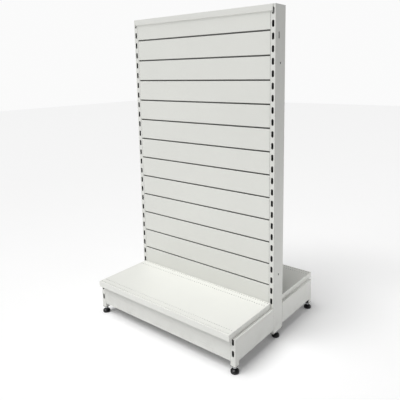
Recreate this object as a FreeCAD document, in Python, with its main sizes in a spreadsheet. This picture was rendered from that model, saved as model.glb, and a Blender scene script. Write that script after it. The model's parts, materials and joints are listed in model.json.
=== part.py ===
import FreeCAD, Part
import math
import os
import re
import Sketcher

# Double-sided slatwall gondola bay: two slotted uprights, a slatted wall on each face,
# a hooked top cap, four base legs, two base decks, two kick plates and six levelling feet.
# Millimetres.  X runs along the bay, -Y is the front, +Z is up.
# The origin is on the floor, at the middle of the bay.

SIZES = [
    # alias, value, what it is
    ("bay_pitch", 800, "centre to centre of the uprights"),
    ("bay_height", 1464, "floor to the top of the bay"),
    ("deck_reach", 360, "middle plane to the front edge of a deck"),
    ("fit_gap", 0.3, "gap between pieces that hang on each other"),
    ("loose_gap", 0.6, "gap around pieces that slide together"),
    ("cut_over", 3, "how far a cutting tool runs past a face"),
    ("bolt_gap", 0.05, "radial gap of a threaded fit"),
    ("post_width", 25, "upright tube, along X"),
    ("post_depth", 80, "upright tube, along Y"),
    ("post_wall", 2, "upright tube wall"),
    ("post_corner", 2.5, "upright tube corner radius"),
    ("post_bottom", 32, "floor to the tube ends above the feet"),
    ("slot_pitch", 50, "shelf slot pitch"),
    ("slot_width", 11, "shelf slot width"),
    ("slot_length", 28, "shelf slot height"),
    ("slot_drop", 26.5, "top of the bay to the first slot centre"),
    ("leg_slot_drop", 14.5, "leg top to the upper slot that carries it"),
    ("side_slot_width", 7, "slot in the outer side of an upright"),
    ("side_slot_length", 27, "its height"),
    ("side_slot_drop", 121.5, "top of the bay to its centre"),
    ("side_slot_shift", 13, "its distance from the middle plane"),
    ("join_hole_radius", 4.25, "hole that bolts two bays together"),
    ("join_hole_top", 1231, "height of the upper one"),
    ("join_hole_low", 305, "height of the lower one"),
    ("plug_rim", 2, "rim of a tube plug"),
    ("plug_depth", 15, "part of the top plug inside the tube"),
    ("plug_gap", 0.1, "gap between a plug and its tube"),
    ("slat_sheet", 1.5, "slat sheet"),
    ("slat_pitch", 100, "groove pitch"),
    ("groove_drop", 102, "top of the bay to the first groove centre"),
    ("groove_open", 7, "groove mouth"),
    ("groove_depth", 14, "slat face to the back of its web"),
    ("groove_rise", 14, "height of the groove behind the slat above it"),
    ("hem_height", 8, "folded hem on the lower edge of a slat"),
    ("bend_outer", 2.2, "outer radius of a bend"),
    ("bend_inner", 0.7, "inner radius of a bend"),
    ("slat_top_gap", 12, "top of the bay to the top slat"),
    ("cap_sheet", 1.5, "top cap sheet"),
    ("cap_lip", 27, "height of its lips"),
    ("cap_proud", 4.5, "slat face to the face of a lip"),
    ("cap_corner", 1.4, "rounded edge of the cap"),
    ("hook_width", 4, "hook across X"),
    ("hook_plate", 1.6, "hook behind the upright wall"),
    ("hook_up", 7.5, "slot centre to the top of a hook"),
    ("hook_down", 17.5, "slot centre to the tip of a hook"),
    ("hook_neck", 15, "height of the hook where it passes the slot"),
    ("deck_top", 179, "floor to the top of a deck"),
    ("deck_sheet", 1, "deck sheet"),
    ("deck_lip", 27, "height of its turned edges"),
    ("deck_side_gap", 1.5, "upright middle to the side of a deck"),
    ("deck_back_gap", 1, "upright face to the back of a deck"),
    ("deck_corner", 2, "outer bend of a deck"),
    ("deck_hem", 12, "return along the bottom of the front lip"),
    ("hole_radius", 2.1, "perforation"),
    ("hole_pitch", 12.5, "perforation pitch"),
    ("hole_margin", 10.6, "deck side to the first perforation"),
    ("row_front_a", 10, "deck front to the first row"),
    ("row_front_b", 35, "deck front to the second row"),
    ("row_back_a", 38, "deck back to the third row"),
    ("row_back_b", 10, "deck back to the fourth row"),
    ("rib_width", 30, "stiffener under a deck"),
    ("rib_height", 16, "its height"),
    ("rib_flange", 12, "its flanges"),
    ("leg_setback", 24, "deck front to the front of a leg"),
    ("leg_wall", 2, "leg sheet"),
    ("leg_skirt", 52, "floor to the bottom of a leg's side"),
    ("leg_corner", 2, "rounded edge of a leg"),
    ("kick_sheet", 1.5, "kick plate sheet"),
    ("kick_setback", 1, "leg front to the kick plate"),
    ("kick_gap", 0.6, "kick plate to leg, each end"),
    ("kick_return", 14, "turned edges of the kick plate"),
    ("kick_tab", 16, "height of a kick plate tab"),
    ("kick_tab_low", 24, "skirt bottom to the lower tab"),
    ("kick_tab_high", 74, "skirt bottom to the upper tab"),
    ("kick_tab_in", 5, "kick plate face to its tabs"),
    ("kick_tab_over", 1, "tab beyond the leg sheet"),
    ("beam_depth", 20, "tie beam, along Y"),
    ("beam_height", 60, "tie beam, along Z"),
    ("beam_wall", 1.5, "tie beam wall"),
    ("beam_low", 110, "floor to the lower tie beam"),
    ("beam_high_drop", 44, "top of the bay to the upper tie beam"),
    ("plate_thick", 3, "tie beam end plate"),
    ("plate_depth", 22, "end plate, along Y"),
    ("plate_over", 20, "end plate above and below the beam"),
    ("screw_radius", 4, "M8 tie beam bolt"),
    ("screw_hole", 4.2, "its clearance hole"),
    ("screw_head_radius", 7.5, "its hexagon head, across corners, halved"),
    ("screw_head", 5.3, "height of the head"),
    ("nut_height", 6.5, "weld nut inside the upright"),
    ("screw_over", 4, "bolt beyond its nut"),
    ("rail_sheet", 2, "angle that carries the slats"),
    ("rail_wall_leg", 13, "its leg on the upright"),
    ("rail_web_leg", 22, "its leg behind the slats"),
    ("mullion_width", 40, "post behind the middle of the slats"),
    ("mullion_wall", 1.5, "its wall"),
    ("foot_radius", 18, "levelling foot pad"),
    ("foot_height", 17, "height of the pad"),
    ("foot_dome", 22, "sphere that rounds its top"),
    ("foot_dome_sink", 3, "floor to the sphere centre, downwards"),
    ("foot_edge", 2.5, "rounded lower edge"),
    ("ball_radius", 6, "ball on the stud"),
    ("ball_height", 9, "floor to the ball centre"),
    ("ball_gap", 0.15, "gap around the ball"),
    ("neck_radius", 3.6, "neck above the ball"),
    ("mouth_radius", 4.6, "mouth of the socket"),
    ("hex_radius", 9.8, "hexagon of the stud, across corners, halved"),
    ("hex_height", 8, "its height"),
    ("stud_radius", 4.95, "M10 stud"),
    ("stud_length", 45, "thread above the hexagon"),
    ("insert_depth", 22, "threaded plug inside a tube"),
]
SIZE = {alias: value for alias, value, what in SIZES}
CLOSE = 1e-6
LONG_EDGE = 50

doc = FreeCAD.newDocument("GondolaBay")
sheet = doc.addObject("Spreadsheet::Sheet", "Sizes")
for row, (alias, value, what) in enumerate(SIZES, start=1):
    sheet.set(f"A{row}", alias)
    sheet.set(f"B{row}", str(value))
    sheet.set(f"C{row}", what)
    sheet.setAlias(f"B{row}", alias)
doc.recompute()

NODES = []
POST_TOP = "(bay_height - plug_rim)"
POST_IN = "(bay_pitch / 2 - post_width / 2)"
POST_OUT = "(bay_pitch / 2 + post_width / 2)"
LEG_TOP = "(deck_top - deck_lip)"
LEG_FRONT = "(deck_reach - leg_setback)"
LEG_END = "(deck_reach - leg_setback - post_width)"
WEB_Y = "(post_depth / 2 - groove_depth)"
FIRST_SLOT = "(bay_height - slot_drop)"
LEG_SLOTS = [f"({LEG_TOP} - leg_slot_drop)", f"({LEG_TOP} - leg_slot_drop - slot_pitch)"]
SLOT_X = ("bay_pitch / 2 - slot_width / 2", "bay_pitch / 2 + slot_width / 2")
SLAT_HALF = f"({POST_IN} - fit_gap)"
SLAT_ROOM = SIZE["bay_height"] - SIZE["groove_drop"] - SIZE["deck_top"] + SIZE["deck_lip"]
SLAT_COUNT = int(SLAT_ROOM / SIZE["slat_pitch"]) + 1
KICK_FACE = f"({LEG_FRONT} - kick_setback)"
KICK_TAB_Y = f"({KICK_FACE} - kick_tab_in)"


def bound(text):
    """The same sum, with every alias written as a cell of the sheet."""
    return re.sub(r"[a-z_]+", lambda m: f"Sizes.{m[0]}" if m[0] in SIZE else m[0], text)


def bind(thing, **sums):
    """Bind properties to sums of the sheet; a double underscore stands for a dot."""
    for name, text in sums.items():
        thing.setExpression(name.replace("__", "."), bound(text))
    return thing


def finish_node(thing, name, turned=False):
    """Name a finished sub-part; the turned one is the same piece on the rear face."""
    thing.Label = name
    if turned:
        thing.Placement = FreeCAD.Placement(FreeCAD.Vector(), FreeCAD.Rotation(FreeCAD.Vector(0, 0, 1), 180))
    NODES.append(thing)
    return thing


def block(name, x, y, z):
    """A box between two heights, depths and widths, each a pair of sums."""
    box = doc.addObject("Part::Box", name)
    for letter, side, (low, high) in zip("xyz", ("Length", "Width", "Height"), (x, y, z)):
        box.setExpression(side, bound(f"({high}) - ({low})"))
        box.setExpression(f"Placement.Base.{letter}", bound(low))
    return box


def turn_to(axis):
    """The rotation that lays a cylinder or a prism along an axis."""
    return FreeCAD.Rotation(FreeCAD.Vector(0, 0, 1), FreeCAD.Vector(*axis))


def rod(name, radius, length, at, axis=(0, 0, 1)):
    """A cylinder from a point along an axis."""
    thing = doc.addObject("Part::Cylinder", name)
    thing.Placement.Rotation = turn_to(axis)
    bind(thing, Radius=radius, Height=length)
    return bind(thing, Placement__Base__x=at[0], Placement__Base__y=at[1], Placement__Base__z=at[2])


def hexagon(name, radius, length, at, axis=(0, 0, 1)):
    """A hexagonal prism from a point along an axis."""
    thing = doc.addObject("Part::Prism", name)
    thing.Polygon = 6
    thing.Placement.Rotation = turn_to(axis)
    bind(thing, Circumradius=radius, Height=length)
    return bind(thing, Placement__Base__x=at[0], Placement__Base__y=at[1], Placement__Base__z=at[2])


def ball(name, radius, at):
    """A sphere on the local Z axis."""
    thing = doc.addObject("Part::Sphere", name)
    return bind(thing, Radius=radius, Placement__Base__z=at)


def join(name, pieces):
    thing = doc.addObject("Part::MultiFuse", name)
    thing.Shapes = pieces
    return thing


def group(name, pieces):
    thing = doc.addObject("Part::Compound", name)
    thing.Links = pieces
    return thing


def cut(name, base, tool):
    thing = doc.addObject("Part::Cut", name)
    thing.Base = base
    thing.Tool = tool
    return thing


def both_sides(side, low, high):
    """A stretch of X, on the right as given or mirrored to the left."""
    return (low, high) if side > 0 else (f"-({high})", f"-({low})")


def edge_names(shape, wanted):
    return [f"Edge{i}" for i, edge in enumerate(shape.Edges, start=1) if wanted(edge)]


def runs_along(edge, axis):
    """True when an edge is straight and long, and lies along an axis."""
    if edge.Curve.TypeId != "Part::GeomLine" or edge.Length < LONG_EDGE:
        return False
    start, end = (vertex.Point for vertex in edge.Vertexes)
    return abs(abs((end - start).dot(FreeCAD.Vector(*axis))) - edge.Length) < CLOSE


def soften(name, base, radius, wanted):
    """Round the chosen edges of a finished solid."""
    doc.recompute()
    chosen = [i for i, edge in enumerate(base.Shape.Edges, start=1) if wanted(edge)]
    thing = doc.addObject("Part::Fillet", name)
    thing.Base = base
    thing.Edges = [(i, SIZE[radius], SIZE[radius]) for i in chosen]
    return thing


# Bodies: sketches and features ---------------------------------------------------------

def new_body(name):
    return doc.addObject("PartDesign::Body", name)


def plane_of(body, role):
    return next(item for item in body.Origin.OriginFeatures if item.Role == role)


def outline(body, name, plane, points, rise="0"):
    """A closed sketch whose corners are pairs of sums, each tied to the sketch origin."""
    sketch = body.newObject("Sketcher::SketchObject", name)
    sketch.AttachmentSupport = (plane_of(body, plane), [""])
    sketch.MapMode = "FlatFace"
    sketch.setExpression("AttachmentOffset.Base.z", bound(rise))
    count = len(points)
    start = [FreeCAD.Vector(50 * math.cos(6.28 * i / count), 50 * math.sin(6.28 * i / count), 0)
             for i in range(count)]
    for i in range(count):
        sketch.addGeometry(Part.LineSegment(start[i], start[(i + 1) % count]), False)
    for i in range(count):
        sketch.addConstraint(Sketcher.Constraint("Coincident", i, 2, (i + 1) % count, 1))
    for i, pair in enumerate(points):
        for kind, text in zip(("DistanceX", "DistanceY"), pair):
            seed = start[i].x if kind == "DistanceX" else start[i].y
            tie = sketch.addConstraint(Sketcher.Constraint(kind, -1, 1, i, 1, seed))
            label = f"{kind}_{i}"
            sketch.renameConstraint(tie, label)
            sketch.setExpression(f"Constraints.{label}", bound(text))
    return sketch


def rectangle(body, name, plane, x, y, rise="0"):
    return outline(body, name, plane, [(x[0], y[0]), (x[1], y[0]), (x[1], y[1]), (x[0], y[1])], rise)


def circle(body, name, plane, radius, places, rise="0"):
    """A sketch of equal circles at pairs of sums."""
    sketch = body.newObject("Sketcher::SketchObject", name)
    sketch.AttachmentSupport = (plane_of(body, plane), [""])
    sketch.MapMode = "FlatFace"
    sketch.setExpression("AttachmentOffset.Base.z", bound(rise))
    for i, pair in enumerate(places):
        at = FreeCAD.Vector(10 * i, 20 * i, 0)
        sketch.addGeometry(Part.Circle(at, FreeCAD.Vector(0, 0, 1), 2), False)
        ties = (("Radius", radius), ("DistanceX", pair[0]), ("DistanceY", pair[1]))
        for kind, text in ties:
            if kind == "Radius":
                rule = Sketcher.Constraint(kind, i, 2)
            else:
                rule = Sketcher.Constraint(kind, -1, 1, i, 3, 1)
            tie = sketch.addConstraint(rule)
            label = f"{kind}_{i}"
            sketch.renameConstraint(tie, label)
            sketch.setExpression(f"Constraints.{label}", bound(text))
    return sketch


def round_ended(body, name, plane, x, z):
    """A sketch of an upright slot with round ends, around a middle."""
    sketch = body.newObject("Sketcher::SketchObject", name)
    sketch.AttachmentSupport = (plane_of(body, plane), [""])
    sketch.MapMode = "FlatFace"
    half_width, half_height = 4, 10
    ends = [FreeCAD.Vector(0, half_height, 0), FreeCAD.Vector(0, -half_height, 0)]
    side = FreeCAD.Vector(half_width, 0, 0)
    normal = FreeCAD.Vector(0, 0, 1)
    arcs = [Part.ArcOfCircle(Part.Circle(ends[0], normal, half_width), 0, math.pi),
            Part.ArcOfCircle(Part.Circle(ends[1], normal, half_width), math.pi, math.tau)]
    lines = [Part.LineSegment(ends[0] - side, ends[1] - side),
             Part.LineSegment(ends[1] + side, ends[0] + side)]
    for piece in (arcs[0], lines[0], arcs[1], lines[1]):
        sketch.addGeometry(piece, False)
    count = sketch.GeometryCount
    for i in range(count):
        sketch.addConstraint(Sketcher.Constraint("Tangent", i, 2, (i + 1) % count, 1))
    reach = "(slot_length / 2 - slot_width / 2)"
    for i, height in ((0, f"{z} + {reach}"), (2, f"{z} - {reach}")):
        rules = (("Radius", Sketcher.Constraint("Radius", i, half_width), "slot_width / 2"),
                 ("Middle", Sketcher.Constraint("DistanceX", -1, 1, i, 3, 0), x),
                 ("Height", Sketcher.Constraint("DistanceY", -1, 1, i, 3, ends[i // 2].y), height))
        for word, rule, text in rules:
            label = f"{word}_{i}"
            sketch.renameConstraint(sketch.addConstraint(rule), label)
            sketch.setExpression(f"Constraints.{label}", bound(text))
    return sketch


def pad(body, sketch, length, middle=False):
    feature = body.newObject("PartDesign::Pad", sketch.Name + "_pad")
    feature.Profile = sketch
    feature.SideType = "Symmetric" if middle else "One side"
    sketch.Visibility = False
    return bind(feature, Length=length)


def pocket(body, sketch, length=None, middle=False, backwards=False):
    """Cut a sketch through a body, and check that it really took material away."""
    doc.recompute()
    before = body.Tip.Shape.Volume
    feature = body.newObject("PartDesign::Pocket", sketch.Name + "_cut")
    feature.Profile = sketch
    feature.SideType = "Symmetric" if middle else "One side"
    feature.Reversed = backwards
    if length:
        bind(feature, Length=length)
    else:
        feature.Type = "ThroughAll"
    doc.recompute()
    if not feature.Shape.Volume < before - 1:
        raise RuntimeError(f"{feature.Name} cut nothing")
    return feature


def repeat(body, feature, axis, spacing, count, backwards=False):
    """Repeat a feature along an axis of its body."""
    pattern = body.newObject("PartDesign::LinearPattern", feature.Name + "_row")
    pattern.Originals = [feature]
    pattern.Direction = (plane_of(body, axis), [""])
    pattern.Reversed = backwards
    pattern.Mode = "Spacing"
    bind(pattern, Offset=spacing, Occurrences=count)
    body.Tip = pattern
    return pattern


def round_edges(body, base, name, radius, wanted):
    doc.recompute()
    feature = body.newObject("PartDesign::Fillet", name)
    feature.Base = (base, edge_names(base.Shape, wanted))
    return bind(feature, Radius=radius)


def upright(name, turned):
    """A slotted tube; the left and right ones are the same piece, turned round."""
    body = new_body(name)
    outer = rectangle(body, name + "_outside", "XY_Plane", (POST_IN, POST_OUT),
                      ("-post_depth / 2", "post_depth / 2"), "post_bottom")
    tube = pad(body, outer, f"{POST_TOP} - post_bottom")
    round_edges(body, tube, name + "_corners", "post_corner",
                lambda edge: runs_along(edge, (0, 0, 1)))
    inner = rectangle(body, name + "_inside", "XY_Plane",
                      (f"{POST_IN} + post_wall", f"{POST_OUT} - post_wall"),
                      ("-post_depth / 2 + post_wall", "post_depth / 2 - post_wall"), "post_bottom")
    pocket(body, inner, backwards=True)
    shelf_slots = f"floor(({FIRST_SLOT} - {LEG_SLOTS[0]} + fit_gap) / slot_pitch)"
    for word, top, count in (("shelf", FIRST_SLOT, shelf_slots), ("leg", LEG_SLOTS[0], str(len(LEG_SLOTS)))):
        slot = round_ended(body, f"{name}_{word}_slot", "XZ_Plane", "bay_pitch / 2", top)
        first = pocket(body, slot, "post_depth + cut_over", middle=True)
        repeat(body, first, "Z_Axis", "slot_pitch", count, backwards=True)
    middle = "(bay_height - side_slot_drop)"
    side = rectangle(body, name + "_side_slot", "YZ_Plane",
                     ("-side_slot_shift - side_slot_width / 2", "-side_slot_shift + side_slot_width / 2"),
                     (f"{middle} - side_slot_length / 2", f"{middle} + side_slot_length / 2"),
                     f"{POST_OUT} - post_wall - cut_over")
    pocket(body, side, "post_wall + cut_over * 2", backwards=True)
    joins = circle(body, name + "_join_holes", "YZ_Plane", "join_hole_radius",
                   [("0", "join_hole_low"), ("0", "join_hole_top")])
    pocket(body, joins, backwards=True)
    screws = circle(body, name + "_beam_holes", "YZ_Plane", "screw_hole",
                    [("0", height) for height in beam_screw_heights()], f"{POST_IN} - cut_over")
    pocket(body, screws, "post_wall + cut_over * 2", backwards=True)
    return finish_node(body, name, turned)


BEAMS = (("tie_beam_lower", "beam_low"), ("tie_beam_upper", "(bay_height - beam_high_drop - beam_height)"))


def screw_heights(low):
    """The bolts of one tie beam, in its end plates below and above the tube."""
    return [f"{low} - plate_over / 2", f"{low} + beam_height + plate_over / 2"]


def beam_screw_heights():
    return [height for name, low in BEAMS for height in screw_heights(low)]


def tie_beam(name, low):
    """A tube across the bay with a plate welded on each end."""
    tube = block(name + "_tube", (f"-{POST_IN} + plate_thick", f"{POST_IN} - plate_thick"),
                 ("-beam_depth / 2", "beam_depth / 2"), (low, f"{low} + beam_height"))
    plates = []
    for side in (1, -1):
        tag = "right" if side > 0 else "left"
        plates.append(block(f"{name}_plate_{tag}", both_sides(side, f"{POST_IN} - plate_thick", POST_IN),
                            ("-plate_depth / 2", "plate_depth / 2"),
                            (f"{low} - plate_over", f"{low} + beam_height + plate_over")))
    openings = [block(name + "_hollow", (f"-{POST_IN}", POST_IN),
                      ("-beam_depth / 2 + beam_wall", "beam_depth / 2 - beam_wall"),
                      (f"{low} + beam_wall", f"{low} + beam_height - beam_wall"))]
    for i, height in enumerate(screw_heights(low)):
        start = ("-bay_pitch / 2", "0", height)
        openings.append(rod(f"{name}_hole_{i}", "screw_hole", "bay_pitch", start, (1, 0, 0)))
    solid = join(name + "_solid", [tube] + plates)
    return finish_node(cut(name, solid, join(name + "_openings", openings)), name)


def beam_fixings():
    """Hexagon bolts through the end plates, and the nuts welded inside the uprights."""
    bolts = []
    nuts = []
    for side in (1, -1):
        for i, height in enumerate(beam_screw_heights()):
            tag = f"{'right' if side > 0 else 'left'}_{i}"
            axis = (side, 0, 0)
            face = f"{side} * ({POST_IN} - plate_thick)"
            head = hexagon(f"bolt_head_{tag}", "screw_head_radius", "screw_head",
                           (f"{side} * ({POST_IN} - plate_thick - screw_head)", "0", height), axis)
            shank = rod(f"bolt_shank_{tag}", "screw_radius",
                        "plate_thick + post_wall + nut_height + screw_over", (face, "0", height), axis)
            bolts.append(join(f"bolt_{tag}", [head, shank]))
            seat = f"{side} * ({POST_IN} + post_wall)"
            blank = hexagon(f"nut_blank_{tag}", "screw_head_radius", "nut_height", (seat, "0", height), axis)
            bore = rod(f"nut_bore_{tag}", "screw_radius + bolt_gap", "nut_height", (seat, "0", height), axis)
            nuts.append(cut(f"nut_{tag}", blank, bore))
    finish_node(group("beam_bolts", bolts), "beam_bolts")
    finish_node(group("beam_nuts", nuts), "beam_nuts")


def slat_points(groove, top):
    """Section of a slat, (depth behind the face, height) turned into (Y, Z).

    A full slat rises from its folded hem to the groove above it, turns back under the
    groove, up behind it and forward again.  The top slat ends in a plain turned edge.
    """
    bottom = f"{groove} + groove_open / 2"
    section = [("0", bottom), ("2 * slat_sheet", bottom), ("2 * slat_sheet", f"{bottom} + hem_height"),
               ("slat_sheet", f"{bottom} + hem_height")]
    if top:
        crown = "bay_height - slat_top_gap"
        section += [("slat_sheet", f"{crown} - slat_sheet"),
                    ("groove_depth - slat_sheet", f"{crown} - slat_sheet"),
                    ("groove_depth - slat_sheet", f"{crown} - groove_depth"),
                    ("groove_depth", f"{crown} - groove_depth"),
                    ("groove_depth", crown),
                    ("0", crown)]
    else:
        shelf = f"{groove} + slat_pitch - groove_open / 2"
        roof = f"{groove} + slat_pitch + groove_open / 2 + groove_rise"
        section += [("slat_sheet", f"{shelf} - slat_sheet"),
                    ("groove_depth", f"{shelf} - slat_sheet"),
                    ("groove_depth", roof),
                    ("slat_sheet + fit_gap", roof),
                    ("slat_sheet + fit_gap", f"{roof} - slat_sheet"),
                    ("groove_depth - slat_sheet", f"{roof} - slat_sheet"),
                    ("groove_depth - slat_sheet", shelf),
                    ("0", shelf)]
    return [(f"-post_depth / 2 + {depth}", height) for depth, height in section]


def slat(name, number, turned):
    """One folded slat, counted from the top."""
    groove = f"(bay_height - groove_drop - {number - 1} * slat_pitch)"
    body = new_body(name)
    section = outline(body, name + "_section", "YZ_Plane", slat_points(groove, number == 1))
    sheet_pad = pad(body, section, f"2 * {SLAT_HALF}", middle=True)
    doc.recompute()
    face = -SIZE["post_depth"] / 2
    back = face + SIZE["groove_depth"]
    hem_top = SIZE["bay_height"] - SIZE["groove_drop"] - (number - 1) * SIZE["slat_pitch"]
    hem_top += SIZE["groove_open"] / 2 + SIZE["hem_height"]

    def bend(edge, depths):
        if not runs_along(edge, (1, 0, 0)):
            return False
        at = edge.Vertexes[0].Point
        return at.z > hem_top + CLOSE and any(abs(at.y - depth) < CLOSE for depth in depths)

    outer = round_edges(body, sheet_pad, name + "_outer_bends", "bend_outer",
                        lambda edge: bend(edge, (face, back)) and not at_end(edge, number))
    doc.recompute()
    sheet_in = SIZE["slat_sheet"]
    round_edges(body, outer, name + "_inner_bends", "bend_inner",
                lambda edge: bend(edge, (face + sheet_in, back - sheet_in)) and not at_end(edge, number))
    return finish_node(body, name, turned)


def at_end(edge, number):
    """True on the free edge of the top slat's turned-down flange."""
    crown = SIZE["bay_height"] - SIZE["slat_top_gap"]
    return number == 1 and edge.Vertexes[0].Point.z < crown - SIZE["groove_depth"] + CLOSE


def top_cap():
    """An inverted channel over both slat walls, hooked into the top slots."""
    half = "(bay_pitch / 2 - loose_gap)"
    lid_half = f"({POST_IN} - loose_gap)"
    face = "(post_depth / 2 + cap_proud)"
    inside = "(post_depth / 2 + cap_proud - cap_sheet)"
    wall = "(post_depth / 2 + fit_gap)"
    low = "(bay_height - cap_lip)"
    pieces = [block("cap_lid", (f"-{lid_half}", lid_half), (f"-{face}", face),
                    ("bay_height - cap_sheet", "bay_height"))]
    for front in (1, -1):
        tag = "front" if front > 0 else "rear"
        edge = both_sides(-front, inside, face)
        turn = both_sides(-front, wall, face)
        pieces.append(block(f"cap_lip_{tag}", (f"-{half}", half), edge, (low, "bay_height")))
        pieces.append(block(f"cap_hem_{tag}", (f"-{half}", half), turn, (low, f"{low} + cap_sheet")))
        pieces.append(block(f"cap_rim_{tag}", (f"-{half}", half), turn,
                            ("bay_height - cap_sheet", "bay_height")))
        for side in (1, -1):
            corner = f"{tag}_{'right' if side > 0 else 'left'}"
            end = both_sides(side, f"{half} - cap_sheet", half)
            pieces.append(block(f"cap_end_{corner}", end, turn, (low, "bay_height")))
            pieces += hook(f"cap_hook_{corner}", end, front, inside, FIRST_SLOT)
    solid = join("top_cap_solid", pieces)
    long_edges = soften("top_cap_rounded", solid, "cap_corner", cap_edge)
    return finish_node(long_edges, "top_cap")


def cap_edge(edge):
    """The long outer edges of the cap, top and bottom of each lip."""
    at = edge.Vertexes[0].Point
    return runs_along(edge, (1, 0, 0)) and abs(abs(at.y) - SIZE["post_depth"] / 2 - SIZE["cap_proud"]) < CLOSE


def hook(name, x, front, start, centre):
    """A neck through a slot of the upright and a tongue hanging behind its wall."""
    behind = "(post_depth / 2 - post_wall - fit_gap / 2)"
    tip = f"({behind} - hook_plate)"
    neck = block(name + "_neck", x, both_sides(-front, tip, start),
                 (f"{centre} + hook_up - hook_neck", f"{centre} + hook_up"))
    tongue = block(name + "_tongue", x, both_sides(-front, tip, behind),
                   (f"{centre} - hook_down", f"{centre} + hook_up"))
    return [neck, tongue]


def base_leg(name, side, turned):
    """A base leg: a channel hooked on the upright, ending in a square tube over a foot."""
    root = "(post_depth / 2 + fit_gap)"
    width = both_sides(side, POST_IN, POST_OUT)
    channel = block(name + "_channel", width, (f"-{LEG_END}", f"-{root}"), ("leg_skirt", LEG_TOP))
    tube = block(name + "_tube", width, (f"-{LEG_FRONT}", f"-{LEG_END}"), ("post_bottom", LEG_TOP))
    solid = join(name + "_outside", [channel, tube])
    shell = soften(name + "_rounded", solid, "leg_corner", leg_edge)
    inner = both_sides(side, f"{POST_IN} + leg_wall", f"{POST_OUT} - leg_wall")
    tools = [
        block(name + "_channel_hollow", inner, (f"-{LEG_END} + leg_wall", f"-{root} - leg_wall"),
              ("leg_skirt - leg_wall", f"{LEG_TOP} - leg_wall")),
        block(name + "_tube_hollow", inner, (f"-{LEG_FRONT} + leg_wall", f"-{LEG_END} - leg_wall"),
              ("post_bottom - leg_wall", f"{LEG_TOP} - leg_wall")),
    ]
    for i, centre in enumerate(LEG_SLOTS):
        tools += slot_tool(f"{name}_slot_{i}", side, centre)
    tab_x = both_sides(side, f"{POST_IN} - cut_over", f"{POST_IN} + leg_wall + cut_over")
    for i, low in enumerate(("kick_tab_low", "kick_tab_high")):
        tools.append(block(f"{name}_tab_slot_{i}", tab_x,
                           (f"-{KICK_TAB_Y} - fit_gap", f"-{KICK_TAB_Y} + kick_sheet + fit_gap"),
                           (f"leg_skirt + {low} - loose_gap", f"leg_skirt + {low} + kick_tab + loose_gap")))
    opened = cut(name + "_opened", shell, join(name + "_openings", tools))
    hook_x = both_sides(side, "bay_pitch / 2 - hook_width / 2", "bay_pitch / 2 + hook_width / 2")
    hooks = []
    for i, centre in enumerate(LEG_SLOTS):
        hooks += hook(f"{name}_hook_{i}", hook_x, 1, root, centre)
    return finish_node(join(name + "_welded", [opened] + hooks), name, turned)


def slot_tool(name, side, centre):
    """The tools that cut a round-ended slot in the front of a leg."""
    ends = [f"{centre} - slot_length / 2 + slot_width / 2", f"{centre} + slot_length / 2 - slot_width / 2"]
    front = f"-{LEG_FRONT} - cut_over"
    tools = [block(name, both_sides(side, *SLOT_X), (front, f"-{LEG_FRONT} + leg_wall + cut_over"), ends)]
    for word, height in zip(("low", "high"), ends):
        tools.append(rod(f"{name}_{word}", "slot_width / 2", "leg_wall + cut_over * 2",
                         (f"{side} * bay_pitch / 2", front, height), (0, 1, 0)))
    return tools


def leg_edge(edge):
    """The long top edges and the upright edges of a leg."""
    top = SIZE["deck_top"] - SIZE["deck_lip"]
    at = edge.Vertexes[0].Point
    on_top = abs(at.z - top) < CLOSE
    front = abs(at.y + SIZE["deck_reach"] - SIZE["leg_setback"]) < CLOSE
    return (runs_along(edge, (0, 1, 0)) and on_top) or (runs_along(edge, (0, 0, 1)) and front)


def kick_plate(name, turned):
    """A folded plate between two legs, held by tabs in their inner sides."""
    half = f"({POST_IN} - kick_gap)"
    top = f"({LEG_TOP} - kick_sheet)"
    x = (f"-{half}", half)
    back = f"(-{KICK_FACE} + kick_return)"
    pieces = [
        block(name + "_face", x, (f"-{KICK_FACE}", f"-{KICK_FACE} + kick_sheet"), ("leg_skirt", top)),
        block(name + "_top", x, (f"-{KICK_FACE}", back), (f"{top} - kick_sheet", top)),
        block(name + "_bottom", x, (f"-{KICK_FACE}", back), ("leg_skirt", "leg_skirt + kick_sheet")),
    ]
    for side in (1, -1):
        tag = "right" if side > 0 else "left"
        pieces.append(block(f"{name}_end_{tag}", both_sides(side, f"{half} - kick_sheet", half),
                            (f"-{KICK_FACE}", back), ("leg_skirt", top)))
        tab_x = both_sides(side, f"{half} - kick_sheet", f"{POST_IN} + leg_wall + kick_tab_over")
        for i, low in enumerate(("kick_tab_low", "kick_tab_high")):
            pieces.append(block(f"{name}_tab_{tag}_{i}", tab_x,
                                (f"-{KICK_TAB_Y}", f"-{KICK_TAB_Y} + kick_sheet"),
                                (f"leg_skirt + {low}", f"leg_skirt + {low} + kick_tab")))
    return finish_node(join(name + "_folded", pieces), name, turned)


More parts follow.
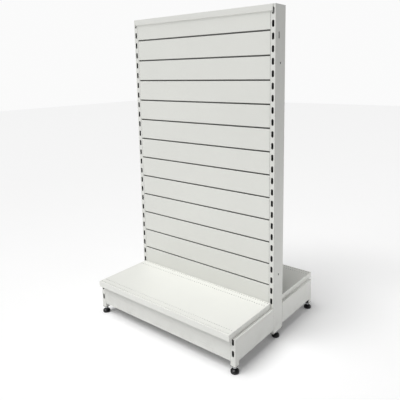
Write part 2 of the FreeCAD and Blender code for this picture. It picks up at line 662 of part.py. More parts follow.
def deck(name, turned):
    """A perforated tray that rests on two legs."""
    half = "(bay_pitch / 2 - deck_side_gap)"
    back = "(post_depth / 2 + deck_back_gap)"
    body = new_body(name)
    outer = rectangle(body, name + "_outside", "XY_Plane", (f"-{half}", half),
                      ("-deck_reach", f"-{back}"), LEG_TOP)
    tray = pad(body, outer, "deck_lip")
    top = SIZE["deck_top"]
    round_edges(body, tray, name + "_bends", "deck_corner",
                lambda edge: all(abs(vertex.Point.z - top) < CLOSE for vertex in edge.Vertexes))
    inner = rectangle(body, name + "_inside", "XY_Plane", (f"-{half} + deck_sheet", f"{half} - deck_sheet"),
                      ("-deck_reach + deck_sheet", f"-{back} - deck_sheet"), LEG_TOP)
    pocket(body, inner, "deck_lip - deck_sheet", backwards=True)
    hem = rectangle(body, name + "_hem", "XY_Plane",
                    (f"-{half} + deck_sheet / 2", f"{half} - deck_sheet / 2"),
                    ("-deck_reach + deck_sheet / 2", "-deck_reach + deck_sheet + deck_hem"), LEG_TOP)
    pad(body, hem, "deck_sheet")
    rows = ("-deck_reach + row_front_a", "-deck_reach + row_front_b",
            f"-{back} - row_back_a", f"-{back} - row_back_b")
    column = circle(body, name + "_holes", "XY_Plane", "hole_radius",
                    [(f"-{half} + hole_margin", row) for row in rows], "deck_top + cut_over")
    first = pocket(body, column, "deck_sheet + cut_over * 2")
    repeat(body, first, "X_Axis", "hole_pitch", f"floor(({half} - hole_margin) * 2 / hole_pitch) + 1")
    return finish_node(body, name, turned)


def deck_stiffener(name, turned):
    """A hat-shaped rib welded under a deck."""
    half = "(bay_pitch / 2 - deck_side_gap - deck_sheet)"
    middle = "((deck_reach + post_depth / 2) / 2)"
    under = "(deck_top - deck_sheet)"
    low = f"({under} - rib_height)"
    x = (f"-{half}", half)
    pieces = [block(name + "_crown", x, (f"-{middle} - rib_width / 2", f"-{middle} + rib_width / 2"),
                    (low, f"{low} + deck_sheet"))]
    for way in (1, -1):
        tag = "front" if way > 0 else "back"
        edge = f"-{middle} * {-way} + rib_width / 2"
        wall = both_sides(-way, f"{edge} - deck_sheet", edge)
        flange = both_sides(-way, f"{edge} - deck_sheet", f"{edge} + rib_flange")
        pieces.append(block(f"{name}_wall_{tag}", x, wall, (low, under)))
        pieces.append(block(f"{name}_flange_{tag}", x, flange, (f"{under} - deck_sheet", under)))
    return finish_node(join(name + "_folded", pieces), name, turned)


def slat_rails():
    """Four angles on the inner sides of the uprights, which carry the slat ends."""
    low = "(beam_low + beam_height + plate_over + plate_over)"
    high = "(bay_height - slat_top_gap - groove_depth)"
    rails = []
    for side in (1, -1):
        for front in (1, -1):
            tag = f"{'right' if side > 0 else 'left'}_{'front' if front > 0 else 'rear'}"
            wall_leg = block(f"rail_wall_{tag}", both_sides(side, f"{POST_IN} - rail_sheet", POST_IN),
                             both_sides(-front, f"{WEB_Y} - rail_wall_leg", WEB_Y), (low, high))
            web_leg = block(f"rail_web_{tag}", both_sides(side, f"{POST_IN} - rail_web_leg", POST_IN),
                            both_sides(-front, f"{WEB_Y} - rail_sheet", WEB_Y), (low, high))
            rails.append(join(f"rail_{tag}", [wall_leg, web_leg]))
    return finish_node(group("slat_rails", rails), "slat_rails")


def mullion():
    """A tube between the tie beams, behind the middle of both slat walls."""
    z = ("beam_low + beam_height", "bay_height - beam_high_drop - beam_height")
    half = "mullion_width / 2"
    outer = block("mullion_outside", (f"-{half}", half), (f"-{WEB_Y}", WEB_Y), z)
    hollow = block("mullion_hollow", (f"-{half} + mullion_wall", f"{half} - mullion_wall"),
                   (f"-{WEB_Y} + mullion_wall", f"{WEB_Y} - mullion_wall"), z)
    return finish_node(cut("mullion_tube", outer, hollow), "centre_mullion")


def tube_plug(name, centre_x, y, tube_wall, low, high, rim_low, rim_high):
    """A plug that fills the end of a tube, with a rim as wide as the tube."""
    tube_x = (f"{centre_x} - post_width / 2", f"{centre_x} + post_width / 2")
    clear = f"({tube_wall} + plug_gap)"
    core = block(name + "_core", (f"{tube_x[0]} + {clear}", f"{tube_x[1]} - {clear}"),
                 (f"{y[0]} + {clear}", f"{y[1]} - {clear}"), (low, high))
    rim = block(name + "_rim", tube_x, y, (rim_low, rim_high))
    return join(name, [core, rim])


def post_plugs():
    plugs = []
    for side in (1, -1):
        name = "post_plug_right" if side > 0 else "post_plug_left"
        depth = ("-post_depth / 2", "post_depth / 2")
        plugs.append(tube_plug(name, f"{side} * bay_pitch / 2", depth, "post_wall",
                               f"{POST_TOP} - plug_depth", POST_TOP, POST_TOP, "bay_height"))
    return finish_node(group("post_plugs", plugs), "post_plugs")


FOOT_Y = f"({LEG_FRONT} - post_width / 2)"
FEET = [(f"foot_{row}_{tag}", f"{side} * bay_pitch / 2", y)
        for row, y in (("front", f"-{FOOT_Y}"), ("middle", "0"), ("rear", FOOT_Y))
        for tag, side in (("left", -1), ("right", 1))]


def foot_inserts():
    """Threaded plugs in the lower ends of the uprights and of the legs."""
    plugs = []
    for name, x, y in FEET:
        in_post = "middle" in name
        half = "post_depth / 2" if in_post else "post_width / 2"
        wall = "post_wall" if in_post else "leg_wall"
        blank = tube_plug(name + "_insert_blank", x, (f"{y} - {half}", f"{y} + {half}"), wall,
                          "post_bottom", "post_bottom + insert_depth",
                          "post_bottom - plug_rim", "post_bottom")
        bore = rod(name + "_insert_bore", "stud_radius + bolt_gap", "plug_rim + insert_depth + cut_over",
                   (x, y, "post_bottom - plug_rim"))
        plugs.append(cut(name + "_insert", blank, bore))
    return finish_node(group("foot_inserts", plugs), "foot_inserts")


def set_foot(thing, name, x, y):
    """Stand a foot piece, made on the Z axis, in its place."""
    bind(thing, Placement__Base__x=x, Placement__Base__y=y)
    return finish_node(thing, name)


def foot_pad(name, x, y):
    """A domed pad with a socket for the ball of its stud."""
    puck = rod(name + "_puck", "foot_radius", "foot_height", ("0", "0", "0"))
    dome = ball(name + "_dome", "foot_dome", "-foot_dome_sink")
    domed = doc.addObject("Part::Common", name + "_domed")
    domed.Base = puck
    domed.Tool = dome
    edge = soften(name + "_edge", domed, "foot_edge", floor_edge)
    socket = ball(name + "_socket", "ball_radius + ball_gap", "ball_height")
    mouth = rod(name + "_mouth", "mouth_radius", "foot_height", ("0", "0", "ball_height"))
    return set_foot(cut(name + "_turned", edge, join(name + "_seat", [socket, mouth])), name, x, y)


def floor_edge(edge):
    return all(abs(vertex.Point.z) < CLOSE for vertex in edge.Vertexes)


def foot_stud(name, x, y):
    """A threaded stud with a hexagon to turn it and a ball in the pad."""
    hex_low = "(post_bottom - plug_rim - fit_gap - hex_height)"
    pieces = [
        ball(name + "_ball", "ball_radius", "ball_height"),
        rod(name + "_neck", "neck_radius", f"{hex_low} - ball_height", ("0", "0", "ball_height")),
        hexagon(name + "_hexagon", "hex_radius", "hex_height", ("0", "0", hex_low)),
        rod(name + "_thread", "stud_radius", "stud_length", ("0", "0", f"{hex_low} + hex_height")),
    ]
    return set_foot(join(name + "_turned", pieces), name, x, y)


for name, turned in (("upright_right", False), ("upright_left", True)):
    upright(name, turned)
for name, side, turned in (("base_leg_front_right", 1, False), ("base_leg_front_left", -1, False),
                           ("base_leg_rear_left", 1, True), ("base_leg_rear_right", -1, True)):
    base_leg(name, side, turned)
for face, turned in (("front", False), ("rear", True)):
    deck(f"deck_{face}", turned)
    deck_stiffener(f"deck_stiffener_{face}", turned)
    kick_plate(f"kick_plate_{face}", turned)
    for number in range(1, SLAT_COUNT + 1):
        slat(f"slat_{face}_{number:02d}", number, turned)
for name, low in BEAMS:
    tie_beam(name, low)
beam_fixings()
top_cap()
slat_rails()
mullion()
post_plugs()
foot_inserts()
for name, x, y in FEET:
    foot_pad(name.replace("foot", "foot_pad"), x, y)
    foot_stud(name.replace("foot", "foot_stud"), x, y)

doc.recompute()
for thing in doc.Objects:
    if "Invalid" in thing.State or "Error" in thing.State:
        raise RuntimeError(f"{thing.Label} failed: {thing.State}")
os.makedirs("parts", exist_ok=True)
for node in NODES:
    if node.Shape.isNull() or not node.Shape.isValid():
        raise RuntimeError(f"{node.Label} has no valid shape")
    node.Shape.exportStep(f"parts/{node.Label}.step")
    box = node.Shape.BoundBox
    print(f"{node.Label:24s} solids {len(node.Shape.Solids)}  volume {node.Shape.Volume:10.0f}"
          f"  x {box.XMin:8.2f} {box.XMax:8.2f}  y {box.YMin:8.2f} {box.YMax:8.2f}"
          f"  z {box.ZMin:8.2f} {box.ZMax:8.2f}")
print(len(NODES), "nodes")
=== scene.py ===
# %% [markdown]
# # A double-sided slatwall bay for a shop floor
#
# The bay is all bent sheet steel under one off-white powder coat: two slotted uprights, a wall of
# folded slats on each face, a cap over the top, and a low base with a perforated deck on each side.
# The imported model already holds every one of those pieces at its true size, so this lesson does not
# redraw them. It gives them their finish, and it models the small moulded and turned pieces, whose
# roundness a plain model leaves out. Everything is in metres, with +Z up and -Y the front.

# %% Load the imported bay
import json
import math
import bmesh
import bpy
from mathutils import Matrix, Vector


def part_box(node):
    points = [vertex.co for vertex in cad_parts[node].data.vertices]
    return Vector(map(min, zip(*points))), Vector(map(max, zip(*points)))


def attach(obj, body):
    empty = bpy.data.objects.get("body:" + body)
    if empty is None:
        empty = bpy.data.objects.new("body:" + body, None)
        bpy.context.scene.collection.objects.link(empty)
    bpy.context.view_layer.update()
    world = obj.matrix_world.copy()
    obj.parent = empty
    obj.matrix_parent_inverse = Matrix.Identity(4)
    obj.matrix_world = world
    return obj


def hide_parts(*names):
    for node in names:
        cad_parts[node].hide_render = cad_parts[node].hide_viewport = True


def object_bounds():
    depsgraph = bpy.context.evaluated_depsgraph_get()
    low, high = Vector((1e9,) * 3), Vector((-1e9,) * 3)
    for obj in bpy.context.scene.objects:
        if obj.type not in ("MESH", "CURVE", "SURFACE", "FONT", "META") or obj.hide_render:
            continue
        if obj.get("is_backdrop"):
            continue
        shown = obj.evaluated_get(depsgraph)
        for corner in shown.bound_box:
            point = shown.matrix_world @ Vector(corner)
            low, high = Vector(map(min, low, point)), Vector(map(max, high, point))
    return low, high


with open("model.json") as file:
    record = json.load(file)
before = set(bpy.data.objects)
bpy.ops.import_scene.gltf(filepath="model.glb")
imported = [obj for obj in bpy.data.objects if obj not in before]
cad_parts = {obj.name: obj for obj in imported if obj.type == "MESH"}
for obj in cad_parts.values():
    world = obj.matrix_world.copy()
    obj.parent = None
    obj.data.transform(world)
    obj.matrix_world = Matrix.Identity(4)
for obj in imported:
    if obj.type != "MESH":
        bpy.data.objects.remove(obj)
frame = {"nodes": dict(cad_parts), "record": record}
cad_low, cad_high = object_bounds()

MM = 0.001
nodes = frame["nodes"]
print("CAD box", [round(v, 3) for v in (*cad_low, *cad_high)], "nodes", len(nodes))

# %% [markdown]
# ## The camera
#
# The bay is seen from the right front corner, from about chest height, with the camera tipped
# down a little. A slightly wide lens makes the near end of the deck larger than the far end.
# The lens is also shifted down, which keeps the uprights nearly parallel: a tilt alone would make
# them lean. The three axes of the camera are worked out from its bearing, tilt and roll.

# %% Camera
EYE = Vector((1.365, -1.687, 1.198))
BEARING, TILT, ROLL = math.radians(38.88), math.radians(-9.66), math.radians(-1.03)


def aim(bearing, tilt, roll):
    """The rotation of a camera that looks along a bearing from +Y towards -X."""
    ahead = Vector((-math.sin(bearing) * math.cos(tilt), math.cos(bearing) * math.cos(tilt), math.sin(tilt)))
    level = Vector((math.cos(bearing), math.sin(bearing), 0))
    above = level.cross(ahead)
    right = level * math.cos(roll) + above * math.sin(roll)
    up = above * math.cos(roll) - level * math.sin(roll)
    return Matrix((right, up, -ahead)).transposed()


lens = bpy.data.cameras.new("camera")
lens.sensor_width = 36
lens.lens = 41.04
lens.shift_x, lens.shift_y = -0.0125, -0.125
camera = bpy.data.objects.new("camera", lens)
camera.matrix_world = Matrix.Translation(EYE) @ aim(BEARING, TILT, ROLL).to_4x4()
bpy.context.scene.collection.objects.link(camera)
bpy.context.scene.camera = camera
print("camera", [round(v, 3) for v in camera.location], "lens", lens.lens)

# %% [markdown]
# ## Shader maths in Python
#
# A finish is a small graph of nodes. Wiring the graph by hand hides the idea behind a lot of
# bookkeeping, so two short classes do that work. `Wire` wraps an output and turns +, -, * and /
# into Math nodes, whichever side the number is on. `Finish` makes the material, and its `node`
# method adds any other node: settings first, then the values or wires of its sockets.

# %% Wire and Finish


class Wire:
    """An output of a node, with Python's operators."""

    def __init__(self, finish, socket):
        self.finish = finish
        self.socket = socket

    def maths(self, operation, first, second):
        return self.finish.node("ShaderNodeMath", {"operation": operation}, {0: first, 1: second})

    def __add__(self, other):
        return self.maths("ADD", self, other)

    def __sub__(self, other):
        return self.maths("SUBTRACT", self, other)

    def __mul__(self, other):
        return self.maths("MULTIPLY", self, other)

    def __truediv__(self, other):
        return self.maths("DIVIDE", self, other)

    def __rsub__(self, other):
        return self.maths("SUBTRACT", other, self)

    def __rtruediv__(self, other):
        return self.maths("DIVIDE", other, self)

    __radd__ = __add__
    __rmul__ = __mul__

    def size(self):
        return self.finish.node("ShaderNodeMath", {"operation": "ABSOLUTE"}, {0: self})

    def clamped(self):
        return self.finish.node("ShaderNodeClamp", {}, {"Value": self})

    def above(self, edge, width):
        """0 below an edge, 1 above it, with a soft step between."""
        return ((self - (edge - width / 2)) / width).clamped()


class Finish:
    """A material that is built up node by node."""

    def __init__(self, name):
        self.material = bpy.data.materials.new(name)
        self.material.use_nodes = True
        self.tree = self.material.node_tree
        self.tree.nodes.clear()
        self.place = self.node("ShaderNodeTexCoord", {}, {}, "Object")

    def node(self, kind, settings, sockets, output=0):
        made = self.tree.nodes.new(kind)
        for key, value in settings.items():
            if key == "stops":
                self.set_stops(made.color_ramp, value)
            else:
                setattr(made, key, value)
        for key, value in sockets.items():
            if isinstance(value, Wire):
                self.tree.links.new(value.socket, made.inputs[key])
            else:
                made.inputs[key].default_value = value
        return Wire(self, made.outputs[output])

    @staticmethod
    def set_stops(ramp, stops):
        while len(ramp.elements) < len(stops):
            ramp.elements.new(0.5)
        for element, (position, colour) in zip(ramp.elements, stops):
            element.position = position
            element.color = colour

    def along(self, axis):
        """The object's coordinate along one axis."""
        return self.node("ShaderNodeSeparateXYZ", {}, {0: self.place}, axis)

    def stretched(self, x, y, z):
        """The object's own coordinates, scaled along each axis."""
        return self.node("ShaderNodeVectorMath", {"operation": "MULTIPLY"}, {0: self.place, 1: (x, y, z)})

    def noise(self, scale, detail=2.0, roughness=0.5, where=None):
        sockets = {"Vector": where or self.place, "Scale": scale, "Detail": detail, "Roughness": roughness}
        return self.node("ShaderNodeTexNoise", {}, sockets)

    def mix(self, amount, first, second, blend="MIX"):
        """One colour over another by an amount."""
        settings = {"data_type": "RGBA", "blend_type": blend}
        return self.node("ShaderNodeMix", settings, {0: amount, 6: first, 7: second}, 2)

    def bump(self, height, strength, depth):
        return self.node("ShaderNodeBump", {}, {"Height": height, "Strength": strength, "Distance": depth})

    def close(self, **sockets):
        """Finish with the main shader; underscores in a name stand for spaces."""
        named = {key.replace("_", " "): value for key, value in sockets.items()}
        shader = self.node("ShaderNodeBsdfPrincipled", {}, named)
        out = self.tree.nodes.new("ShaderNodeOutputMaterial")
        self.tree.links.new(shader.socket, out.inputs["Surface"])
        return self.material


print("Wire and Finish are ready")

# %% [markdown]
# ## Powder coat
#
# Powder coat is sprayed on dry and baked until it flows. It never quite flattens, so it keeps a
# fine orange peel: soft dimples about a millimetre across, a few hundredths deep. Its colour is
# even, with a faint cloud where the coat is thicker. A shop bay also picks up dust near the floor,
# where shoes and mops reach it. Inside an upright or a leg behind its slots, deep inside each slat
# groove, and on the underside and hole walls of a deck, the coat is mixed towards near black:
# this is painted shade, standing in for the shade in these hollows.

# %% Powder coat
FLOOR_DUST = (0.50, 0.49, 0.46, 1)
SCUFF = (0.33, 0.32, 0.30, 1)
SPECKLE = (0.62, 0.62, 0.59, 1)
# near black: painted shade for the insides of tubes, the deep groove walls and the deck's underside
PAINTED_SHADE = (0.030, 0.030, 0.032, 1)
CLOUD_SCALE = 2.6
GRAIN_SCALE = 1100
DIMPLE_SCALE = 650
SCUFF_SCALE = 9
SMUDGE_SCALE = 23
DUST_HEIGHT = 0.075
PEEL = 0.25
PEEL_DEPTH = 0.0001
EDGE_FADE = 0.0001


def hollow_shade_mask(coat, limits):
    """1 in a hollow that gets painted shade, 0 outside it; limits are (axis, from, to) as distances from a
    middle plane.
    """
    mask = 1.0
    for axis, low, high in limits:
        distance = coat.along(axis).size()
        mask = mask * distance.above(low, EDGE_FADE) * (1 - distance.above(high, EDGE_FADE))
    return mask


def powder_coat(name, tint, gloss=0.38, hollow=(), shade_amount=0.0):
    """Off-white powder coat over sheet steel, with painted shade mixed in inside the hollow, if there is
    one.
    """
    coat = Finish(name)
    clouds = coat.noise(CLOUD_SCALE, 3, 0.55)
    grain = coat.noise(GRAIN_SCALE, 2, 0.6)
    dimples = coat.noise(DIMPLE_SCALE, 1.5, 0.45)
    darker = tuple(0.955 * c for c in tint)
    base = coat.mix(clouds.above(0.5, 0.5), (*tint, 1), (*darker, 1))
    base = coat.mix(grain.above(0.62, 0.2) * 0.10, base, SPECKLE)
    low = 1 - coat.along("Z").above(DUST_HEIGHT, 0.11)
    smudges = coat.noise(SMUDGE_SCALE, 5, 0.62).above(0.52, 0.22)
    base = coat.mix(low * smudges * 0.28, base, FLOOR_DUST)
    scuffs = coat.noise(SCUFF_SCALE, 2, 0.5, coat.stretched(1.2, 1.2, 14)).above(0.69, 0.04)
    base = coat.mix(scuffs * low * 0.20, base, SCUFF)
    rough = gloss + grain * 0.10 + clouds * 0.06 + low * smudges * 0.15
    if hollow:
        # painted shade: the hollow is mixed towards near black to stand for the shade inside it
        base = coat.mix(hollow_shade_mask(coat, hollow) * shade_amount, base, PAINTED_SHADE)
    normal = coat.bump(dimples + grain * 0.25, PEEL, PEEL_DEPTH)
    return coat.close(Base_Color=base, Roughness=rough, Normal=normal, IOR=1.5)


SLAT_TINT = (0.800, 0.806, 0.765)
FRAME_TINT = (0.790, 0.795, 0.760)
DECK_TINT = (0.815, 0.820, 0.780)
post_low, post_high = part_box("upright_right")
leg_low, leg_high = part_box("base_leg_front_right")
deck_low, deck_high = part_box("deck_front")
slat_face = -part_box("slat_front_02")[0].y
# The hollows below get painted shade: these margins keep a thin band by each outer face in coat colour and
# darken the rest.
WALL = 0.0018
DECK_WALL = 0.0009
GROOVE_SKIN = 0.00306
SHADE_INSET = 0.0006
ACROSS = ("X", post_low.x + SHADE_INSET, post_high.x - SHADE_INSET)
frame_paint = powder_coat("frame_paint", FRAME_TINT, 0.40)
post_paint = powder_coat("post_paint", FRAME_TINT, 0.40, (ACROSS, ("Y", -1, post_high.y - SHADE_INSET)), 0.95)
leg_inside = (ACROSS, ("Y", post_high.y + WALL, -leg_low.y - WALL), ("Z", -1, leg_high.z - WALL))
leg_paint = powder_coat("leg_paint", FRAME_TINT, 0.40, leg_inside, 0.95)
slat_paint = powder_coat("slat_paint", SLAT_TINT, 0.38, (("Y", -1, slat_face - GROOVE_SKIN),), 0.6)
deck_inside = (("X", -1, deck_high.x - DECK_WALL), ("Y", -deck_high.y + DECK_WALL, -deck_low.y - DECK_WALL),
               ("Z", -1, deck_high.z - DECK_WALL / 3))
deck_paint = powder_coat("deck_paint", DECK_TINT, 0.36, deck_inside, 0.9)
print("powder coats", [m.name for m in (frame_paint, post_paint, leg_paint, slat_paint, deck_paint)])

# %% [markdown]
# ## Zinc plate, black moulding and grey moulding
#
# The studs, bolts and nuts are bright zinc plate: a metal with a faint patchy sheen and fine
# turning marks. The feet are glossy black nylon, smooth apart from a slight waviness and the dust
# that settles near the floor. The plugs in the tops of the uprights are light grey moulding with a
# fine spark-eroded grain.

# %% Small materials


def zinc_plate(name):
    zinc = Finish(name)
    patches = zinc.node("ShaderNodeTexVoronoi", {"feature": "F1"}, {"Vector": zinc.place, "Scale": 260.0}, 0)
    marks = zinc.noise(40, 3, 0.6, zinc.stretched(1, 1, 60))
    base = zinc.mix(patches.above(0.4, 0.6), (0.66, 0.67, 0.69, 1), (0.56, 0.57, 0.58, 1))
    base = zinc.mix(marks.above(0.66, 0.2) * 0.25, base, (0.40, 0.39, 0.36, 1))
    rough = 0.26 + marks * 0.22
    return zinc.close(Base_Color=base, Metallic=1.0, Roughness=rough, Normal=zinc.bump(marks, 0.2, 0.0001))


def black_moulding(name):
    nylon = Finish(name)
    waves = nylon.noise(140, 2, 0.5)
    dust = nylon.noise(420, 4, 0.65).above(0.60, 0.16)
    low = 1 - nylon.along("Z").above(0.006, 0.010)
    base = nylon.mix(dust * (0.04 + low * 0.22), (0.010, 0.010, 0.011, 1), (0.22, 0.21, 0.19, 1))
    rough = 0.24 + waves * 0.10 + dust * low * 0.35
    return nylon.close(Base_Color=base, Roughness=rough, Normal=nylon.bump(waves, 0.12, 0.0002), IOR=1.4)


def grey_moulding(name):
    plug = Finish(name)
    grain = plug.noise(1500, 2, 0.6)
    clouds = plug.noise(40, 2, 0.5)
    base = plug.mix(clouds.above(0.5, 0.4), (0.60, 0.60, 0.575, 1), (0.55, 0.55, 0.53, 1))
    return plug.close(Base_Color=base, Roughness=0.46 + grain * 0.16, Normal=plug.bump(grain, 0.3, 0.0001))


zinc = zinc_plate("zinc_plate")
black = black_moulding("black_moulding")
grey = grey_moulding("grey_moulding")
print("small materials", [m.name for m in (zinc, black, grey)])

# %% [markdown]
# ## Dress the CAD pieces
#
# Each piece in the record names a material slot. Going through that list gives every piece its
# finish, and nothing is missed.

# %% Dress the CAD pieces
FINISHES = {
    "cream_paint": frame_paint,
    "slat_paint": slat_paint,
    "deck_paint": deck_paint,
    "zinc_steel": zinc,
    "black_plastic": black,
    "grey_plastic": grey,
}
SPECIAL = {"upright": post_paint, "base_leg": leg_paint}
for row in frame["record"]["subparts"]:
    piece = nodes[row["node"]]
    finish = FINISHES[row["material_slot"]]
    for start, other in SPECIAL.items():
        if row["node"].startswith(start):
            finish = other
    piece.data.materials.clear()
    piece.data.materials.append(finish)

# %% [markdown]
# ## Turned shapes
#
# A pad, a stud and a lid are all stacks of rings: a ring of points at each height, and faces that
# join each ring to the next. `ring_of` makes a ring, `skin` joins a stack and closes its ends, so
# every mesh is a closed solid. `turned` makes the stack from an outline that runs from the axis
# back to the axis, as on a lathe. Lathe and ring modifiers could do this too, but with the points
# in hand a radius can change with the angle, which a thread and a hexagon need.

# %% Rings, skins and turned solids
TURNS = 64


def new_piece(name, mesh, at, body, material):
    """Put a mesh in the scene as a piece that rides on a body."""
    mesh.materials.append(material)
    piece = bpy.data.objects.new(name, mesh)
    piece.location = at
    bpy.context.scene.collection.objects.link(piece)
    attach(piece, body)
    return piece


def ring_of(shape, radius_at, height, sides):
    """A ring of points round the axis; the radius may change with the angle."""
    ring = []
    for i in range(sides):
        angle = 2 * math.pi * i / sides
        radius = radius_at(angle) * MM
        ring.append(shape.verts.new((radius * math.cos(angle), radius * math.sin(angle), height * MM)))
    return ring


def skin(shape, rings):
    """Join rings from the bottom up and close both ends; an end may be one point on the axis."""
    for below, above in zip(rings, rings[1:]):
        count = max(len(below), len(above))
        for i in range(count):
            j = (i + 1) % count
            if len(below) == 1:
                shape.faces.new((below[0], above[j], above[i]))
            elif len(above) == 1:
                shape.faces.new((below[i], below[j], above[0]))
            else:
                shape.faces.new((below[i], below[j], above[j], above[i]))
    if len(rings[0]) > 1:
        shape.faces.new(list(reversed(rings[0])))
    if len(rings[-1]) > 1:
        shape.faces.new(rings[-1])


def smooth_mesh(name, shape, crease=38):
    """The finished mesh, smooth apart from creases sharper than an angle in degrees."""
    bmesh.ops.recalc_face_normals(shape, faces=shape.faces)
    mesh = bpy.data.meshes.new(name)
    shape.to_mesh(mesh)
    shape.free()
    mesh.shade_smooth()
    mesh.set_sharp_from_angle(angle=math.radians(crease))
    return mesh


def turned(name, outline):
    """A closed mesh from (radius, height) points in millimetres; both end points lie on the axis."""
    shape = bmesh.new()
    rings = []
    for radius, height in outline:
        rings.append(ring_of(shape, lambda angle: radius, height, TURNS if radius else 1))
    skin(shape, rings)
    return smooth_mesh(name, shape)


def arc(centre, radius, start, end, steps):
    """Points on an arc of an outline, in millimetres and degrees."""
    points = []
    for i in range(steps + 1):
        angle = math.radians(start + (end - start) * i / steps)
        points.append((centre[0] + radius * math.cos(angle), centre[1] + radius * math.sin(angle)))
    return points


print("turned shapes use", TURNS, "sides")

# %% [markdown]
# ## Foot pads
#
# The pad is a domed puck. Its rim is a plain band with a rounded lower edge, so it slides on a
# floor without digging in. A fine moulding line runs round the band, where the two halves of the
# tool met. The dome rises to a lip round the socket for the stud's ball.

# %% Foot pads
PAD_RADIUS = 18.0
PAD_TOP = 17.0
PAD_EDGE = 2.6
DOME_RADIUS = 22.0
DOME_CENTRE = -3.0
SEAM_HEIGHT = 5.75
SEAM_DEPTH = 0.18
SEAM_HALF = 0.15
LIP = 0.6


def pad_outline():
    """Radius and height of the pad, from the underside to the socket."""
    band_top = math.sqrt(DOME_RADIUS ** 2 - PAD_RADIUS ** 2) + DOME_CENTRE
    start = math.degrees(math.asin((band_top - DOME_CENTRE) / DOME_RADIUS))
    end = math.degrees(math.asin((PAD_TOP - LIP - DOME_CENTRE) / DOME_RADIUS))
    points = [(0, 0.7), (12.5, 0.7), (13.2, 0.0)]
    points += arc((PAD_RADIUS - PAD_EDGE, PAD_EDGE), PAD_EDGE, -90, 0, 8)
    points += [(PAD_RADIUS, SEAM_HEIGHT - SEAM_HALF), (PAD_RADIUS - SEAM_DEPTH, SEAM_HEIGHT)]
    points += [(PAD_RADIUS, SEAM_HEIGHT + SEAM_HALF)]
    points += arc((0, DOME_CENTRE), DOME_RADIUS, start, end, 18)
    rim = points[-1][0]
    points += [(rim - 0.7, PAD_TOP), (5.6, PAD_TOP), (4.9, PAD_TOP - LIP), (4.7, 14.2), (0, 14.0)]
    return points


pad_mesh = turned("foot_pad_moulding", pad_outline())
feet = sorted(name.removeprefix("foot_pad_") for name in nodes if name.startswith("foot_pad_"))
for foot in feet:
    low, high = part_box(f"foot_pad_{foot}")
    centre = (low + high) / 2
    place = (centre.x, centre.y, 0)
    pad = new_piece(f"pad_{foot}", pad_mesh.copy(), place, f"foot_pad_{foot}", black)
    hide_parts(f"foot_pad_{foot}")
print("pads", feet, "with", len(pad_mesh.vertices), "points each")

# %% [markdown]
# ## Studs
#
# The stud is M10 with a 1.5 mm pitch. A thread is one ridge that climbs a pitch each turn, so the
# radius of the rod depends on how far a point is from that ridge. Working the radius out from the
# angle and the height together gives a true helix, and it fades to a plain end at the top. Below it
# sits the hexagon that a spanner turns, and a neck that goes down into the pad.

# %% Studs
PITCH = 1.5
CREST, ROOT = 4.95, 4.15
HEX_ACROSS = 17.0
THREAD_SIDES = 36
STEPS_PER_PITCH = 6
HEX_SIDES = 96


def thread_radius(angle, height, top):
    """Radius of the thread at an angle and a height, in millimetres."""
    phase = (height / PITCH - angle / (2 * math.pi)) % 1
    ridge = min(1, max(0, 1.35 - 2.7 * abs(phase - 0.5)))
    fade = min(1, max(0, (top - height) / 1.6))
    return ROOT - 0.25 + (ridge * (CREST - ROOT) + 0.25) * fade


def threaded_rod(shape, bottom, top):
    """A closed rod with a helical thread between two heights."""
    steps = round((top - bottom) / PITCH * STEPS_PER_PITCH)
    rings = []
    for k in range(steps + 1):
        height = bottom + (top - bottom) * k / steps
        rings.append(ring_of(shape, lambda angle: thread_radius(angle, height, top), height, THREAD_SIDES))
    skin(shape, rings)


def hexagon_radius(angle):
    """Distance from the axis to the flat of a hexagon at an angle."""
    sixth = math.pi / 3
    return HEX_ACROSS / 2 / math.cos((angle + sixth / 2) % sixth - sixth / 2)


def hexagon_block(shape, bottom, top):
    """A hexagon whose corners are turned off above and below."""
    turned_off, full = HEX_ACROSS / 2 * 0.97, HEX_ACROSS / 2 * 1.155
    limits = [(bottom, turned_off), (bottom + 1.0, full), (top - 1.0, full), (top, turned_off)]
    rings = []
    for height, limit in limits:
        rings.append(ring_of(shape, lambda angle: min(limit, hexagon_radius(angle)), height, HEX_SIDES))
    skin(shape, rings)


def stud_mesh(hex_low, hex_high, top):
    shape = bmesh.new()
    threaded_rod(shape, hex_high - 0.5, top)
    hexagon_block(shape, hex_low, hex_high)
    return smooth_mesh("stud", shape, 32)


stud_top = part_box(f"foot_stud_{feet[0]}")[1].z / MM
THREAD = 45.0
HEX_HEIGHT = 8.0
hex_high = stud_top - THREAD
hex_low = hex_high - HEX_HEIGHT
stud = stud_mesh(hex_low, hex_high, stud_top)
neck_outline = [(0, 9.0), (4.4, 9.0), (5.4, 12.0), (3.6, 13.6), (3.6, hex_low + 0.4), (0, hex_low + 0.4)]
neck = turned("neck", neck_outline)
for foot in feet:
    low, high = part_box(f"foot_stud_{foot}")
    centre = (low + high) / 2
    place = (centre.x, centre.y, 0)
    body = f"foot_stud_{foot}"
    screw = new_piece(f"stud_{foot}", stud.copy(), place, body, zinc)
    new_piece(f"stud_neck_{foot}", neck.copy(), place, body, zinc)
    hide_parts(f"foot_stud_{foot}")
print("studs", len(feet), "with", len(stud.vertices), "points each, top at", round(stud_top, 2), "mm")

# %% [markdown]
# ## Plugs in the tops of the uprights
#
# Each plug is a moulded lid: a rim as wide as the tube, with rounded corners and a face that is
# slightly crowned, so that it does not look like a cut plate. The rim is a grid of points laid over
# a rounded rectangle; the crown is a height that falls off towards the edge.

# %% Top plugs
PLUG_CORNER = 2.5
PLUG_EDGE = 0.7
PLUG_CROWN = ((3.5, 0.12), (7.0, 0.02), (10.5, 0.0))


def rounded_rectangle(half_x, half_y, corner, steps=6):
    """Points round a rectangle with round corners, in millimetres."""
    points = []
    for quarter, (sx, sy) in enumerate(((1, 1), (-1, 1), (-1, -1), (1, -1))):
        centre = (sx * (half_x - corner), sy * (half_y - corner))
        points += arc(centre, corner, 90 * quarter, 90 * quarter + 90, steps)
    return points


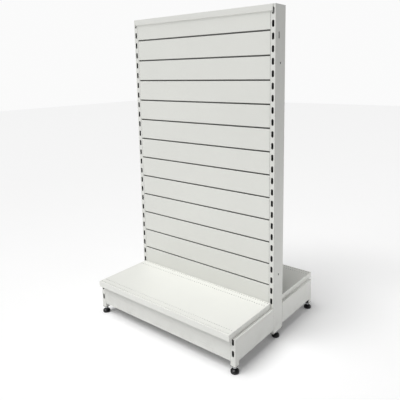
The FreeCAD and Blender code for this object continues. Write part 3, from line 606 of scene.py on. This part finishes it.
def plug_mesh(half_x, half_y, thickness):
    """A crowned lid with a rounded edge; its underside lies at height 0."""
    layers = [(0.0, 0.0), (0.0, thickness - PLUG_EDGE)]
    layers += [(PLUG_EDGE * (1 - math.cos(a)), thickness - PLUG_EDGE + PLUG_EDGE * math.sin(a) * 0.7)
               for a in (0.5, 1.0, 1.5)]
    layers += [(inset, thickness - dip) for inset, dip in PLUG_CROWN]
    shape = bmesh.new()
    rings = []
    for inset, height in layers:
        corner = max(0.6, PLUG_CORNER - inset * 0.4)
        ring = [shape.verts.new((x * MM, y * MM, height * MM))
                for x, y in rounded_rectangle(half_x - inset, half_y - inset, corner)]
        rings.append(ring)
    skin(shape, rings)
    return smooth_mesh("plug", shape, 40)


half_width = (post_high.x - post_low.x) / 2 / MM
half_depth = (post_high.y - post_low.y) / 2 / MM
rim = (cad_high.z - post_high.z) / MM
for side, name in ((1, "right"), (-1, "left")):
    middle = side * (post_low.x + post_high.x) / 2
    lid = new_piece(f"top_plug_{name}", plug_mesh(half_width, half_depth, rim), (middle, 0, post_high.z),
                    "root", grey)
    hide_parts("post_plugs")
print("plugs", round(half_width * 2, 1), "by", round(half_depth * 2, 1), "mm, rim", round(rim, 2))

# %% [markdown]
# ## Floor
#
# The bay stands on a plain pale floor that runs into a white surround, as in a product studio. It is
# one large sheet with an almost even matt finish, a fraction of a millimetre below the pads, so
# that they do not flicker against it. A faint glow of its own lifts it to the white of the
# surround, which hides the far edge.

# %% Floor
FLOOR_GLOW = 0.11


def floor_finish():
    floor = Finish("studio_floor")
    clouds = floor.noise(1.5, 3, 0.5)
    base = floor.mix(clouds.above(0.5, 0.6), (0.91, 0.91, 0.91, 1), (0.90, 0.90, 0.90, 1))
    glow = {"Emission_Color": (1, 1, 1, 1), "Emission_Strength": FLOOR_GLOW}
    return floor.close(Base_Color=base, Roughness=0.75 + clouds * 0.1, **glow)


FLOOR_HALF = 14.0
floor_mesh = bpy.data.meshes.new("studio_floor")
corners = [(-FLOOR_HALF, -FLOOR_HALF, 0), (FLOOR_HALF, -FLOOR_HALF, 0),
           (FLOOR_HALF, FLOOR_HALF, 0), (-FLOOR_HALF, FLOOR_HALF, 0)]
floor_mesh.from_pydata(corners, [], [(0, 1, 2, 3)])
floor_mesh.materials.append(floor_finish())
floor = bpy.data.objects.new("studio_floor", floor_mesh)
floor.location.z = cad_low.z - 0.0002
bpy.context.scene.collection.objects.link(floor)
floor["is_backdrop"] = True
print("floor at", round(floor.location.z, 4))

# %% [markdown]
# ## Light
#
# The surround gives soft light from everywhere. It looks white, but it lights the bay more weakly
# than it looks, so that faces turned away from the lamps still go darker: a Light Path node tells
# the two apart. One wide lamp high on the front left makes the deck the brightest face, the slats
# a little darker, and the right sides clearly darker, so the corners read. Two weak softboxes keep
# the front bright and stop the far end of the right side from going dull.

# %% Light
WORLD_LIGHT = 0.20
WORLD_LOOK = 0.96
world = bpy.data.worlds.new("surround")
world.use_nodes = True
sky = world.node_tree.nodes["Background"]
path = world.node_tree.nodes.new("ShaderNodeLightPath")
strength = world.node_tree.nodes.new("ShaderNodeMapRange")
world.node_tree.links.new(path.outputs["Is Camera Ray"], strength.inputs["Value"])
strength.inputs["To Min"].default_value = WORLD_LIGHT
strength.inputs["To Max"].default_value = WORLD_LOOK
sky.inputs["Color"].default_value = (1, 1, 1, 1)
world.node_tree.links.new(strength.outputs["Result"], sky.inputs["Strength"])
bpy.context.scene.world = world


def soft_sun(name, towards, spread, power):
    """A wide, even lamp: parallel light whose edge is softened by its spread."""
    data = bpy.data.lights.new(name, "SUN")
    data.angle = math.radians(spread)
    data.energy = power
    lamp = bpy.data.objects.new(name, data)
    lamp.rotation_euler = Vector(towards).to_track_quat("Z", "Y").to_euler()
    lamp.location = Vector(towards) * 4
    bpy.context.scene.collection.objects.link(lamp)


def soft_lamp(name, place, target, size, power, beam=180):
    """A round softbox that faces a target; the beam, in degrees, can be narrowed by a grid."""
    data = bpy.data.lights.new(name, "AREA")
    data.shape = "DISK"
    data.size = size
    data.energy = power
    data.spread = math.radians(beam)
    lamp = bpy.data.objects.new(name, data)
    lamp.location = place
    lamp.rotation_euler = (Vector(place) - Vector(target)).to_track_quat("Z", "Y").to_euler()
    bpy.context.scene.collection.objects.link(lamp)


soft_sun("overhead", (-0.22, -0.36, 0.90), 44, 2.50)
soft_lamp("front_left", (-1.9, -3.0, 2.6), (0, 0, 1.0), 1.4, 3.5, 90)
soft_lamp("right_rear", (1.35, 1.05, 0.5), (0.41, 0.3, 0.12), 0.5, 0.45, 60)
bpy.context.scene.view_settings.view_transform = "Standard"

# %% [markdown]
# ## Measure and finish
#
# The box of the imported model and the box of the finished look are both printed.

# %% Measure and finish
low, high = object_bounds()
print("visual box", [round(v, 4) for v in (*low, *high)])
